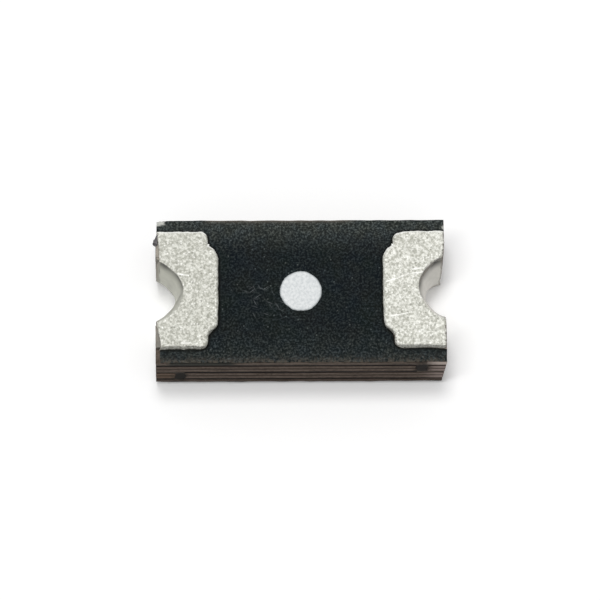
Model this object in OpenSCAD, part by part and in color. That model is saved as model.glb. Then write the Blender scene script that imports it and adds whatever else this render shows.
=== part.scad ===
// Resettable fuse: a laminated surface-mount chip with a plated half-round notch at each end.
// X runs along the length, Y across, Z up.
// The origin is the middle of the plane that the chip is soldered down on.

/* [Body] */
// Length between the two sawn ends
body_l = 3.2; // [2.8:0.05:4]
// Width between the two sawn sides
body_w = 1.65; // [1.6:0.05:2.4]

/* [Laminate] */
// Thickness of each glass and epoxy cover
cover_t = 0.07; // [0.05:0.01:0.2]
// Thickness of each electrode foil
foil_t = 0.05; // [0.02:0.01:0.1]
// Thickness of each conductive polymer sheet
ptc_t = 0.19; // [0.1:0.01:0.4]
// Thickness of the solder mask on either side
mask_t = 0.02; // [0.01:0.005:0.04]

/* [Lands] */
// Length of a land at its shoulders, from the sawn end
land_shoulder_l = 0.575; // [0.5:0.005:0.65]
// Length of a land at its tongue, from the sawn end
land_l = 0.69; // [0.6:0.01:1]
// Width of a land at its shoulders
land_w = 1.37; // [1.2:0.01:1.5]
// Width of the tongue
tongue_w = 1.08; // [0.8:0.01:1.15]
// Corner radius of the shoulders
shoulder_r = 0.085; // [0.04:0.005:0.1]
// Corner radius of the tongue
tongue_r = 0.19; // [0.06:0.01:0.25]
// Thickness of the copper in a land
land_copper_t = 0.055; // [0.03:0.005:0.08]
// Thickness of the tin finish
tin_t = 0.02; // [0.01:0.005:0.03]
// Radius of the rounded outer edge of a tinned land
edge_r = 0.03; // [0.01:0.005:0.04]
// Room between a tinned land and the solder mask
mask_clearance = 0.004; // [0:0.002:0.05]

/* [End notches] */
// Radius of the drilled hole that each end is sawn through
notch_r = 0.4; // [0.33:0.01:0.5]
// Distance of the drilled centre beyond the sawn end, half of the saw cut
notch_out = 0.07; // [0.05:0.005:0.2]
// Thickness of the copper plated on the notch wall
wall_copper_t = 0.03; // [0.02:0.005:0.05]
// Radius of the rounded rim between a land and the notch wall
rim_r = 0.02; // [0.01:0.005:0.045]
// How far the laminate swells into the notch at mid height
swell = 0.07; // [0.02:0.01:0.1]

/* [Isolation] */
// Length of the end strip that a slot cuts off, from the sawn end
strip_l = 0.21; // [0.15:0.01:0.4]
// Width of the ring that a slot leaves round the notch
ring_w = 0.08; // [0.05:0.01:0.15]
// Width of a slot
slot_w = 0.12; // [0.08:0.01:0.2]

/* [Marking] */
// Diameter of the printed dot
dot_d = 0.46; // [0.2:0.02:0.8]
// Thickness of the ink
ink_t = 0.012; // [0.005:0.001:0.03]

/* [Wear] */
// Length of the chipped corner along the side
chip_l = 0.11; // [0.05:0.01:0.2]
// Width of the chipped corner along the end
chip_w = 0.07; // [0.03:0.01:0.15]
// Height of the chipped corner
chip_h = 0.05; // [0.03:0.01:0.08]

/* [Hidden] */
$fn = 64;

// How far cutting shapes reach past the faces that they cut
over = 0.1;
// Height of a finished land above the laminate
land_t = land_copper_t + tin_t;
// Levels of the stack, counted up from the soldered plane
bottom_cover_z = land_t;
lower_foil_z = bottom_cover_z + cover_t;
lower_ptc_z = lower_foil_z + foil_t;
centre_foil_z = lower_ptc_z + ptc_t;
upper_ptc_z = centre_foil_z + foil_t;
upper_foil_z = upper_ptc_z + ptc_t;
top_cover_z = upper_foil_z + foil_t;
laminate_top_z = top_cover_z + cover_t;
mask_top_z = laminate_top_z + mask_t;
total_h = laminate_top_z + land_t;
// Radius of the notch wall after plating and tinning
copper_bore_r = notch_r - wall_copper_t;
finished_r = copper_bore_r - tin_t;
// Radius of the arc that the swollen laminate follows from one land to the other
half_laminate = (laminate_top_z - bottom_cover_z) / 2;
swell_r = (half_laminate ^ 2 + swell ^ 2) / (2 * swell);

// Moves a shape drawn with its sawn end at x = 0 to the right end of the chip
module at_right_end() translate([body_l / 2, 0, 0]) children();

// The same at the left end, mirrored
module at_left_end() mirror([1, 0, 0]) at_right_end() children();

// Both ends at once
module at_both_ends() {
    at_right_end() children();
    at_left_end() children();
}

// Flat layer of the outline given as child
module layer(z, t) translate([0, 0, z]) linear_extrude(t) children();

// Drilled hole of the notch, seen from above
module notch_disc(r) translate([notch_out, 0]) circle(r);

// Room that a notch of this radius leaves, waisted where the laminate swells into it
module notch_room(r) {
    translate([notch_out, 0, 0])
        rotate_extrude()
            difference() {
                translate([0, -over]) square([r, total_h + 2 * over]);
                translate([r - swell + swell_r, total_h / 2]) circle(swell_r);
            }
}

// Flat layer of the laminate, with both notches cut through it
module notched_layer(z, t) {
    difference() {
        layer(z, t) children();
        at_both_ends() notch_room(notch_r);
    }
}

// Sawn outline of the laminate
module board() square([body_l, body_w], center = true);

// Everything inside the sawn sides within reach of the end
module end_block(reach) translate([-reach, -body_w / 2]) square([reach, body_w]);

// End of a foil or sheet up to a straight edge that swells round the notch
module end_zone(l, ring) {
    end_block(l);
    intersection() {
        end_block(body_l / 2);
        notch_disc(notch_r + ring);
    }
}

// Strip that a slot leaves at the end
module strip_shape() end_zone(strip_l, ring_w);

// Strip and slot together
module relief_shape() end_zone(strip_l + slot_w, ring_w + slot_w);

// Slot from side to side
module slot_shape() {
    difference() {
        relief_shape();
        strip_shape();
    }
}

// Tab that runs inwards from the sawn end, with two round corners
module tab(l, w, r) {
    translate([r - l, -w / 2]) square([l - r, w]);
    translate([-l, r - w / 2]) square([l, w - 2 * r]);
    for (side = [-1, 1])
        translate([r - l, side * (w / 2 - r)]) circle(r);
}

// Outline of a land: shoulders with a wider tongue between them, drawn in by inset
module land_shape(inset) {
    tab(land_shoulder_l - inset, land_w - 2 * inset, shoulder_r - inset);
    tab(land_l - inset, tongue_w - 2 * inset, tongue_r - inset);
}

// Half tube of plating on the notch wall, from one radius to another
module wall_tube(inner_r, outer_r, z, h) {
    difference() {
        intersection() {
            layer(z, h) end_block(body_l / 2);
            notch_room(outer_r);
        }
        notch_room(inner_r);
    }
}

// Copper of one land, seen from above
module land_copper_shape() {
    difference() {
        land_shape(tin_t);
        notch_disc(notch_r);
    }
}

module bottom_land_copper() layer(tin_t, land_copper_t) land_copper_shape();

module top_land_copper() layer(laminate_top_z, land_copper_t) land_copper_shape();

module wall_copper() wall_tube(copper_bore_r, notch_r, tin_t, total_h - 2 * tin_t);

// Ring that rounds off the rim where the notch wall meets the upper land
module rim_cutter() {
    translate([notch_out, 0, 0])
        rotate_extrude()
            difference() {
                translate([finished_r - over, total_h - rim_r]) square([over + rim_r, rim_r + over]);
                translate([finished_r + rim_r, total_h - rim_r]) circle(rim_r);
            }
}

// Cross-section of a tab from its middle out to w / 2, with its upper edge rounded
module soft_edge_profile(reach) {
    square([reach, land_t - edge_r]);
    square([reach - edge_r, land_t]);
    translate([reach - edge_r, land_t - edge_r]) circle(edge_r);
}

// Tab with the same outline as above and a rounded upper edge, standing on z = 0
module soft_tab(l, w, r) {
    for (side = [0, 1])
        mirror([0, side, 0])
            translate([r - l, 0, 0])
                rotate([90, 0, 90])
                    linear_extrude(l - r) soft_edge_profile(w / 2);
    translate([0, w / 2 - r, 0])
        rotate([90, 0, 0])
            linear_extrude(w - 2 * r) mirror([1, 0]) soft_edge_profile(l);
    for (side = [-1, 1])
        translate([r - l, side * (w / 2 - r), 0]) rotate_extrude() soft_edge_profile(r);
}

// Finished land with its share of the notch, standing on z = 0
module soft_land() {
    difference() {
        union() {
            soft_tab(land_shoulder_l, land_w, shoulder_r);
            soft_tab(land_l, tongue_w, tongue_r);
        }
        translate([0, 0, -over]) linear_extrude(land_t + 2 * over) notch_disc(finished_r);
    }
}

// Solid that the tin fills together with the copper
module terminal_body() {
    difference() {
        union() {
            translate([0, 0, laminate_top_z]) soft_land();
            translate([0, 0, land_t]) mirror([0, 0, 1]) soft_land();
            wall_tube(finished_r, notch_r, 0, total_h);
        }
        rim_cutter();
        translate([0, 0, total_h]) mirror([0, 0, 1]) rim_cutter();
    }
}

// Tin finish of one terminal: the terminal body less the copper under it
module tin_finish() {
    difference() {
        terminal_body();
        bottom_land_copper();
        top_land_copper();
        wall_copper();
    }
}

// Solder mask outline, open round both lands
module mask_shape() {
    difference() {
        square([body_l, body_w], center = true);
        at_both_ends() {
            land_shape(-mask_clearance);
            translate([-over, -land_w / 2 - mask_clearance])
                square([2 * over, land_w + 2 * mask_clearance]);
        }
    }
}

// Broken-out corner at the back of the left end: a slanted plane that cuts off chip_l, chip_w and chip_h
module corner_chip() {
    translate([-body_l / 2, body_w / 2, mask_top_z])
        polyhedron(
            points = [
                for (p = [[-1, 1, 1], [3, 1, 1], [-1, -3, 1], [-1, 1, -3]])
                    [p.x * chip_l, p.y * chip_w, p.z * chip_h]
            ],
            faces = [[0, 1, 2], [0, 3, 1], [0, 2, 3], [1, 3, 2]]
        );
}

// Laminate

module bottom_cover() color("#6a645c") notched_layer(bottom_cover_z, cover_t) board();

module lower_foil() color("#4a3a30") notched_layer(lower_foil_z, foil_t) difference() {
    board();
    at_left_end() relief_shape();
}

module lower_foil_end_strip() color("#4a3a30")
    notched_layer(lower_foil_z, foil_t) at_left_end() strip_shape();

module lower_ptc_sheet() color("#5c5248") notched_layer(lower_ptc_z, ptc_t) difference() {
    board();
    at_left_end() relief_shape();
}

module lower_ptc_end_strip() color("#5c5248")
    notched_layer(lower_ptc_z, ptc_t) at_left_end() strip_shape();

module left_slot_resin() color("#26221f") at_left_end() layer(lower_foil_z, foil_t + ptc_t) slot_shape();

module centre_foil() color("#4a3a30") notched_layer(centre_foil_z, foil_t) difference() {
    board();
    at_both_ends() relief_shape();
}

module left_relief_resin() color("#26221f")
    notched_layer(centre_foil_z, foil_t) at_left_end() relief_shape();

module right_relief_resin() color("#26221f")
    notched_layer(centre_foil_z, foil_t) at_right_end() relief_shape();

module upper_ptc_sheet() color("#5c5248") notched_layer(upper_ptc_z, ptc_t) difference() {
    board();
    at_right_end() relief_shape();
}

module upper_ptc_end_strip() color("#5c5248")
    notched_layer(upper_ptc_z, ptc_t) at_right_end() strip_shape();

module upper_foil() color("#4a3a30") notched_layer(upper_foil_z, foil_t) difference() {
    board();
    at_right_end() relief_shape();
}

module upper_foil_end_strip() color("#4a3a30")
    notched_layer(upper_foil_z, foil_t) at_right_end() strip_shape();

module right_slot_resin() color("#26221f") at_right_end() layer(upper_ptc_z, ptc_t + foil_t) slot_shape();

module top_cover() color("#6a645c") difference() {
    notched_layer(top_cover_z, cover_t) board();
    corner_chip();
}

// Solder mask

module bottom_solder_mask() color("#2c3231") layer(bottom_cover_z - mask_t, mask_t) mask_shape();

module top_solder_mask() color("#2c3231") difference() {
    layer(laminate_top_z, mask_t) mask_shape();
    corner_chip();
}

// Terminals

module left_bottom_pad() color("#b8734a") at_left_end() bottom_land_copper();

module right_bottom_pad() color("#b8734a") at_right_end() bottom_land_copper();

module left_top_pad() color("#b8734a") at_left_end() top_land_copper();

module right_top_pad() color("#b8734a") at_right_end() top_land_copper();

module left_wall_plating() color("#b8734a") at_left_end() wall_copper();

module right_wall_plating() color("#b8734a") at_right_end() wall_copper();

module left_tin_finish() color("#d8d8d4") at_left_end() tin_finish();

module right_tin_finish() color("#d8d8d4") at_right_end() tin_finish();

// Marking

module ink_dot() color("#e4e6e6") translate([0, 0, mask_top_z]) cylinder(d = dot_d, h = ink_t);

bottom_cover();
lower_foil();
lower_foil_end_strip();
lower_ptc_sheet();
lower_ptc_end_strip();
left_slot_resin();
centre_foil();
left_relief_resin();
right_relief_resin();
upper_ptc_sheet();
upper_ptc_end_strip();
upper_foil();
upper_foil_end_strip();
right_slot_resin();
top_cover();
bottom_solder_mask();
top_solder_mask();
left_bottom_pad();
right_bottom_pad();
left_top_pad();
right_top_pad();
left_wall_plating();
right_wall_plating();
left_tin_finish();
right_tin_finish();
ink_dot();
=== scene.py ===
"""Looks of a laminated surface-mount resettable fuse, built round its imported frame.

Sizes are in millimetres and become metres where a mesh, a lamp or the camera is made.
X runs along the chip, Y from front to back, Z up from the plane it is soldered down on."""
import itertools
import math

import bmesh
import bpy
import numpy as np
from mathutils import Matrix, Vector


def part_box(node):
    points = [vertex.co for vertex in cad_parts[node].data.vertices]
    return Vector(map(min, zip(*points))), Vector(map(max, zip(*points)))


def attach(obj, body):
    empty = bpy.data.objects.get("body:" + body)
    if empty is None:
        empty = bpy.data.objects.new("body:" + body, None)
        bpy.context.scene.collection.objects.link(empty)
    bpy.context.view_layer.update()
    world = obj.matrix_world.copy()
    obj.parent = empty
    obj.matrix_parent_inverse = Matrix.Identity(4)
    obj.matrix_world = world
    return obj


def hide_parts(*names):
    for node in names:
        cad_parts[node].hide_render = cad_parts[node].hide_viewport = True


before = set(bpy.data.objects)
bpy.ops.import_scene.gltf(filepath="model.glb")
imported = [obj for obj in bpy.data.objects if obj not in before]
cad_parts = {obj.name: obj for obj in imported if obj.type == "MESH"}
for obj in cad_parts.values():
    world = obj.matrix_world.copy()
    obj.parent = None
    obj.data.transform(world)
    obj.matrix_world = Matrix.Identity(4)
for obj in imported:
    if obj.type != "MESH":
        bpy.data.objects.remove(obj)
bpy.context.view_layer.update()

MM = 0.001


def node_box(name):
    """Lowest and highest corner of a frame node, in millimetres."""
    return [np.array(corner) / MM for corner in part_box(name)]


# Sizes that the frame gives

HALF_L, HALF_W, LAMINATE_TOP = node_box("top_cover")[1]
LAMINATE_BOTTOM = node_box("bottom_cover")[0][2]
TIN_LOW, TIN_HIGH = node_box("right_tin_finish")
HEIGHT = TIN_HIGH[2]
LAND_L = HALF_L - TIN_LOW[0]
LAND_HALF_W = TIN_HIGH[1]
TIN_T = LAND_HALF_W - node_box("right_top_pad")[1][1]
MASK_TOP = node_box("top_solder_mask")[1][2]
MASK_T = MASK_TOP - LAMINATE_TOP
INK_LOW, INK_HIGH = node_box("ink_dot")

# Sizes of curves, which a box doesn't give

LAND_SHOULDER_L = 0.575
TONGUE_HALF_W = 0.54
SHOULDER_R = 0.085
TONGUE_R = 0.19
EDGE_R = 0.03
NOTCH_R = 0.40
NOTCH_OUT = 0.07
WALL_COPPER_T = 0.03
FINISHED_R = NOTCH_R - WALL_COPPER_T - TIN_T
STRIP_L = 0.21
RING_W = 0.08
SLOT_W = 0.12
MASK_CLEARANCE = 0.004
CHIP_SIZE = np.array([0.11, 0.07, 0.05])

NOTCH_CENTRE = np.array([HALF_L + NOTCH_OUT, 0.0])

SWELL = 0.07
HALF_LAMINATE = (LAMINATE_TOP - LAMINATE_BOTTOM) / 2
SWELL_R = (HALF_LAMINATE ** 2 + SWELL ** 2) / (2 * SWELL)


def notch_swell(z):
    """How far the laminate swells into a notch at a height, an arc from cover to cover, and its slope."""
    off = np.clip(z - HEIGHT / 2, -HALF_LAMINATE, HALF_LAMINATE)
    rise = np.sqrt(SWELL_R ** 2 - off ** 2)
    inside = np.abs(z - HEIGHT / 2) < HALF_LAMINATE
    return rise - (SWELL_R - SWELL), -off / rise * inside


# Node helpers

def fill(tree, node, inputs):
    """Sets or links each input of a node by its name or number."""
    for key, value in inputs.items():
        if isinstance(value, bpy.types.NodeSocket):
            tree.links.new(value, node.inputs[key])
        else:
            node.inputs[key].default_value = value


def place(tree, kind, inputs, **settings):
    """Adds a node, applies its settings and fills its inputs."""
    node = tree.nodes.new("ShaderNode" + kind)
    for key, value in settings.items():
        setattr(node, key, value)
    fill(tree, node, inputs)
    return node


def arithmetic(tree, operation, a, b=0.0, clamp=False):
    """One Math node of two values."""
    return place(tree, "Math", {0: a, 1: b}, operation=operation, use_clamp=clamp).outputs[0]


def product(tree, first, *others):
    """Two or more values multiplied."""
    for value in others:
        first = arithmetic(tree, "MULTIPLY", first, value)
    return first


def ramp(tree, value, start, end, low=0.0, high=1.0):
    """Straight change from low at the start to high at the end, level beyond them."""
    inputs = {"Value": value, "From Min": start, "From Max": end, "To Min": low, "To Max": high}
    return place(tree, "MapRange", inputs).outputs[0]


def window(tree, value, low, high):
    """0 up to low, 1 from high on, an S curve between; low above high turns it round."""
    inputs = {"Value": value, "From Min": low, "From Max": high}
    return place(tree, "MapRange", inputs, interpolation_type="SMOOTHSTEP").outputs[0]


def past(tree, coordinate, low, high):
    """The same S curve over a coordinate, between two places in millimetres."""
    return window(tree, coordinate, low * MM, high * MM)


def band(tree, coordinate, low, inner_low, inner_high, high):
    """1 between the two inner places, 0 outside the outer two, in millimetres."""
    return product(tree, past(tree, coordinate, low, inner_low), past(tree, coordinate, high, inner_high))


def blend(tree, factor, first, second, kind="MIX"):
    """Colour between two others, or the first one multiplied by the second."""
    node = place(tree, "Mix", {0: factor, 6: first, 7: second}, data_type="RGBA", blend_type=kind)
    return node.outputs[2]


def noise(tree, where, cell, detail=2.0, roughness=0.5):
    """Noise with features about a cell wide, in millimetres."""
    inputs = {"Vector": where, "Scale": 1 / (cell * MM), "Detail": detail, "Roughness": roughness}
    return place(tree, "TexNoise", inputs).outputs[0]


def stretched(tree, where, scale, turn=0.0):
    """Coordinates turned about Z, then stretched along each axis."""
    rotation = (0, 0, math.radians(turn))
    turned = place(tree, "Mapping", {"Vector": where, "Rotation": rotation}).outputs[0]
    return place(tree, "Mapping", {"Vector": turned, "Scale": scale}).outputs[0]


def axes(tree, where):
    """X, Y and Z of a coordinate, in metres."""
    return place(tree, "SeparateXYZ", {0: where}).outputs


def attribute(tree, name):
    """Value that a mesh carries at its points."""
    return place(tree, "Attribute", {}, attribute_name=name).outputs["Fac"]


def rgb(red, green, blue):
    """Colour with full alpha."""
    return (red, green, blue, 1.0)


def empty_material(name):
    """Material with only its output."""
    material = bpy.data.materials.new(name)
    material.use_nodes = True
    tree = material.node_tree
    tree.nodes.clear()
    return material, tree, tree.nodes.new("ShaderNodeOutputMaterial")


def object_coordinates(tree):
    """Coordinates of the piece itself."""
    return place(tree, "TexCoord", {}).outputs["Object"]


def finish_material(tree, output, height, depth, **inputs):
    """Principled shader with a bump of a depth in millimetres."""
    bump = place(tree, "Bump", {"Height": height, "Distance": depth * MM, "Strength": 1.0})
    values = {key.replace("_", " "): value for key, value in inputs.items()}
    shader = place(tree, "BsdfPrincipled", {**values, "Normal": bump.outputs[0]})
    tree.links.new(shader.outputs[0], output.inputs["Surface"])


def new_group(name, inputs, outputs):
    """Empty node group with named inputs (socket kind, default) and float outputs."""
    group = bpy.data.node_groups.new(name, "ShaderNodeTree")
    for key, (kind, value) in inputs.items():
        socket = group.interface.new_socket(key, in_out="INPUT", socket_type=kind)
        if value is not None:
            socket.default_value = value
    for key in outputs:
        group.interface.new_socket(key, in_out="OUTPUT", socket_type="NodeSocketFloat")
    return group, group.nodes.new("NodeGroupInput").outputs, group.nodes.new("NodeGroupOutput").inputs


def use_group(tree, group, inputs):
    """Outputs of a group placed with its own values."""
    node = tree.nodes.new("ShaderNodeGroup")
    node.node_tree = group
    fill(tree, node, inputs)
    return node.outputs


# Camera, light and floor

CAMERA_DISTANCE = 60.0
CAMERA_LENS = 324.8
CAMERA_ELEVATION = 71.95
CAMERA_AZIMUTH = 3.79
CAMERA_ROLL = 3.39
AIM_RIGHT = -0.0029
AIM_UP = 0.0117
CLIP_START = 1.0
CLIP_END = 10000.0


def add_camera():
    """Looks at the chip from in front and above; the roll turns right and up about the view."""
    elevation, azimuth, roll = np.radians([CAMERA_ELEVATION, CAMERA_AZIMUTH, CAMERA_ROLL])
    ahead = Vector((
        math.sin(azimuth) * math.cos(elevation),
        math.cos(azimuth) * math.cos(elevation),
        -math.sin(elevation),
    ))
    level = ahead.cross(Vector((0, 0, 1))).normalized()
    over = level.cross(ahead)
    right = math.cos(roll) * level + math.sin(roll) * over
    up = math.cos(roll) * over - math.sin(roll) * level
    aim = Vector((0, 0, HEIGHT / 2)) + AIM_RIGHT * right + AIM_UP * up
    data = bpy.data.cameras.new("camera")
    data.lens = CAMERA_LENS
    data.clip_start = CLIP_START * MM
    data.clip_end = CLIP_END * MM
    camera = bpy.data.objects.new("camera", data)
    turn = Matrix((right, up, -ahead)).transposed().to_4x4()
    camera.matrix_world = Matrix.Translation((aim - CAMERA_DISTANCE * ahead) * MM) @ turn
    bpy.context.scene.collection.objects.link(camera)
    bpy.context.scene.camera = camera


def add_lamp(name, tilt_back, tilt_left, distance, width, length, energy):
    """Oval soft box that looks at the chip, tilted from straight above towards the back and the left."""
    data = bpy.data.lights.new(name, "AREA")
    data.shape = "ELLIPSE"
    data.size = width * MM
    data.size_y = length * MM
    data.energy = energy
    lamp = bpy.data.objects.new(name, data)
    left, back = np.tan(np.radians([tilt_left, tilt_back]))
    away = Vector((-left, back, 1)).normalized()
    lamp.location = away * distance * MM
    lamp.rotation_mode = "QUATERNION"
    lamp.rotation_quaternion = away.to_track_quat("Z", "Y")
    bpy.context.scene.collection.objects.link(lamp)


FLOOR_SIZE = 400.0
FLOOR_DROP = 0.001
FLOOR_ALBEDO = 0.95
FLOOR_GLOW = 0.13
WORLD_LIGHT = 0.38


def seen_directly(tree):
    """1 for rays from the camera and for mirrored or refracted ones, 0 for the rest."""
    path = tree.nodes.new("ShaderNodeLightPath")
    total = path.outputs["Is Camera Ray"]
    for kind in ("Is Glossy Ray", "Is Transmission Ray"):
        total = arithmetic(tree, "ADD", total, path.outputs[kind], clamp=True)
    return total


def add_floor():
    """White sheet that keeps the shadow; a little glow, for rays that see it directly, takes it to white."""
    half = FLOOR_SIZE / 2
    corners = np.array([[-half, -half], [half, -half], [half, half], [-half, half]])
    points = np.column_stack([corners, np.full(4, -FLOOR_DROP)])
    mesh = bpy.data.meshes.new("floor")
    mesh.from_pydata((points * MM).tolist(), [], [(0, 1, 2, 3)])
    floor = bpy.data.objects.new("floor", mesh)
    bpy.context.scene.collection.objects.link(floor)
    material, tree, output = empty_material("floor")
    paper = place(tree, "BsdfDiffuse", {"Color": rgb(FLOOR_ALBEDO, FLOOR_ALBEDO, FLOOR_ALBEDO)})
    strength = product(tree, seen_directly(tree), FLOOR_GLOW)
    glow = place(tree, "Emission", {"Strength": strength})
    both = place(tree, "AddShader", {0: paper.outputs[0], 1: glow.outputs[0]})
    tree.links.new(both.outputs[0], output.inputs["Surface"])
    mesh.materials.append(material)


def set_world():
    """Even white surroundings: plain fill light, and full white for rays that see them directly."""
    world = bpy.data.worlds.new("surroundings")
    world.use_nodes = True
    tree = world.node_tree
    tree.nodes.clear()
    strength = ramp(tree, seen_directly(tree), 0.0, 1.0, WORLD_LIGHT, 1.0)
    background = place(tree, "Background", {"Color": rgb(1, 1, 1), "Strength": strength})
    output = tree.nodes.new("ShaderNodeOutputWorld")
    tree.links.new(background.outputs[0], output.inputs["Surface"])
    bpy.context.scene.world = world
    bpy.context.scene.view_settings.view_transform = "Standard"


# Effects that several materials share

SAW_LENGTH = 0.35
SAW_PITCH = 0.014
TEAR_SIZE = 0.03


def make_saw_group():
    """Saw marks: noise drawn out along the chip and thin in height, with a finer tear across it."""
    inputs = {"Vector": ("NodeSocketVector", None), "Tear": ("NodeSocketFloat", 0.5)}
    group, given, result = new_group("saw_marks", inputs, ["Streak", "Height"])
    lines = stretched(group, given["Vector"], (1 / SAW_LENGTH, 1 / SAW_LENGTH, 1 / SAW_PITCH))
    streak = noise(group, lines, 1.0, 3.0, 0.6)
    tear = noise(group, given["Vector"], TEAR_SIZE, 3.0, 0.65)
    both = arithmetic(group, "ADD", streak, product(group, tear, given["Tear"]))
    group.links.new(window(group, both, 0.45, 1.0), result["Streak"])
    group.links.new(both, result["Height"])
    return group


def make_speck_group():
    """Specks: a random share of the cells of a Voronoi pattern, each fading from its middle out to a size."""
    inputs = {
        "Vector": ("NodeSocketVector", None),
        "Scale": ("NodeSocketFloat", 40000.0),
        "Size": ("NodeSocketFloat", 0.3),
        "Share": ("NodeSocketFloat", 0.5),
    }
    group, given, result = new_group("specks", inputs, ["Mask"])
    cells = place(group, "TexVoronoi", {"Vector": given["Vector"], "Scale": given["Scale"]}).outputs
    pick = place(group, "SeparateColor", {0: cells["Color"]}).outputs[0]
    kept = arithmetic(group, "LESS_THAN", pick, given["Share"])
    faded = ramp(group, cells["Distance"], given["Size"], 0.0)
    group.links.new(product(group, kept, faded), result["Mask"])
    return group


def make_cloud_group():
    """Cloudy variation: soft noise with some finer detail, spread over 0 to 1."""
    inputs = {"Vector": ("NodeSocketVector", None), "Scale": ("NodeSocketFloat", 2500.0)}
    group, given, result = new_group("clouds", inputs, ["Value"])
    soft = place(group, "TexNoise", {"Vector": given["Vector"], "Scale": given["Scale"], "Detail": 3.0})
    group.links.new(window(group, soft.outputs[0], 0.3, 0.7), result["Value"])
    return group


saw_marks = make_saw_group()
specks = make_speck_group()
clouds = make_cloud_group()


def sawn(tree, where, tear):
    """Streak and height of saw marks with a share of tear."""
    return use_group(tree, saw_marks, {"Vector": where, "Tear": tear})


def specked(tree, where, per_mm, size, share):
    """Mask of specks, with so many cells to the millimetre."""
    inputs = {"Vector": where, "Scale": per_mm / MM, "Size": size, "Share": share}
    return use_group(tree, specks, inputs)["Mask"]


def cloudy(tree, where, per_mm):
    """Clouds, with so many to the millimetre."""
    return use_group(tree, clouds, {"Vector": where, "Scale": per_mm / MM})["Value"]


# Materials

# Near-white of bare tin in scratches, also used for the painted highlight on the back-facing edges.
BARE_TIN_AND_HIGHLIGHT = rgb(0.95, 0.95, 0.91)


def tin_material():
    """Matte plated tin: pale grains, dark specks, painted glints of facets and a painted highlight on the
    back-facing edges; plain down the notch, with painted shade in its groove.
    """
    material, tree, output = empty_material("matte_tin")
    where = object_coordinates(tree)
    right = past(tree, axes(tree, where)[0], -1.0, 1.0)
    wall = attribute(tree, "wall")
    back_edge_highlight = attribute(tree, "back_edge_highlight")
    grain = noise(tree, where, 0.026, 3.0, 0.65)
    dark = blend(tree, right, rgb(0.365, 0.365, 0.313), rgb(0.40, 0.40, 0.345))
    pale = blend(tree, right, rgb(0.712, 0.712, 0.655), rgb(0.79, 0.79, 0.735))
    tone = blend(tree, window(tree, grain, 0.34, 0.68), dark, pale)
    tone = blend(tree, specked(tree, where, 30, 0.45, 0.25), tone, rgb(0.22, 0.22, 0.185))
    # Near-white specks: painted glints of the tin's facets.
    tone = blend(tree, specked(tree, where, 34, 0.45, 0.25), tone, rgb(0.97, 0.97, 0.93))
    tone = blend(tree, attribute(tree, "scratch"), tone, BARE_TIN_AND_HIGHLIGHT)
    # Painted highlight: edges that face the back are blended towards near-white.
    tone = blend(tree, back_edge_highlight, tone, BARE_TIN_AND_HIGHLIGHT)
    plain_dark = blend(tree, right, rgb(0.47, 0.47, 0.41), rgb(0.62, 0.605, 0.555))
    plain_pale = blend(tree, right, rgb(0.57, 0.57, 0.50), rgb(0.74, 0.715, 0.665))
    tone = blend(tree, wall, tone, blend(tree, cloudy(tree, where, 6), plain_dark, plain_pale))
    tone = blend(tree, attribute(tree, "sawn"), tone, rgb(0.25, 0.225, 0.19))
    # Painted shade: near-black in the groove under the notch rim and at the foot, with the lip's dark line.
    tone = blend(tree, attribute(tree, "groove"), tone, rgb(0.030, 0.030, 0.025))
    rough = ramp(tree, grain, 0.0, 1.0, 0.72, 0.52)
    rough = arithmetic(tree, "SUBTRACT", rough, product(tree, back_edge_highlight, 0.25))
    height = product(tree, grain, arithmetic(tree, "SUBTRACT", 1.0, wall))
    finish_material(tree, output, height, 0.005, Base_Color=tone, Roughness=rough, Metallic=0.25)
    return material


FIBRE_TURNS = (-35, 20, 62)
FIBRE_FIELD_X = (-0.72, -0.52, -0.18, 0.02)
FIBRE_FIELD_Y = (-0.36, -0.22, 0.0, 0.14)
RUBBED_EDGE_X = (-1.15, -0.95, 0.45, 0.70)
FRESH_BREAK = rgb(0.56, 0.57, 0.53)


def fibre_mask(tree, where):
    """Short pale fibres left of the middle: long thin specks in a few directions, inside a soft field."""
    x, y, _ = axes(tree, where)
    total = 0.0
    for turn in FIBRE_TURNS:
        found = specked(tree, stretched(tree, where, (0.11, 1, 1), turn), 62, 0.36, 0.22)
        total = arithmetic(tree, "ADD", total, found, clamp=True)
    return product(tree, total, band(tree, x, *FIBRE_FIELD_X), band(tree, y, *FIBRE_FIELD_Y))


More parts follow.
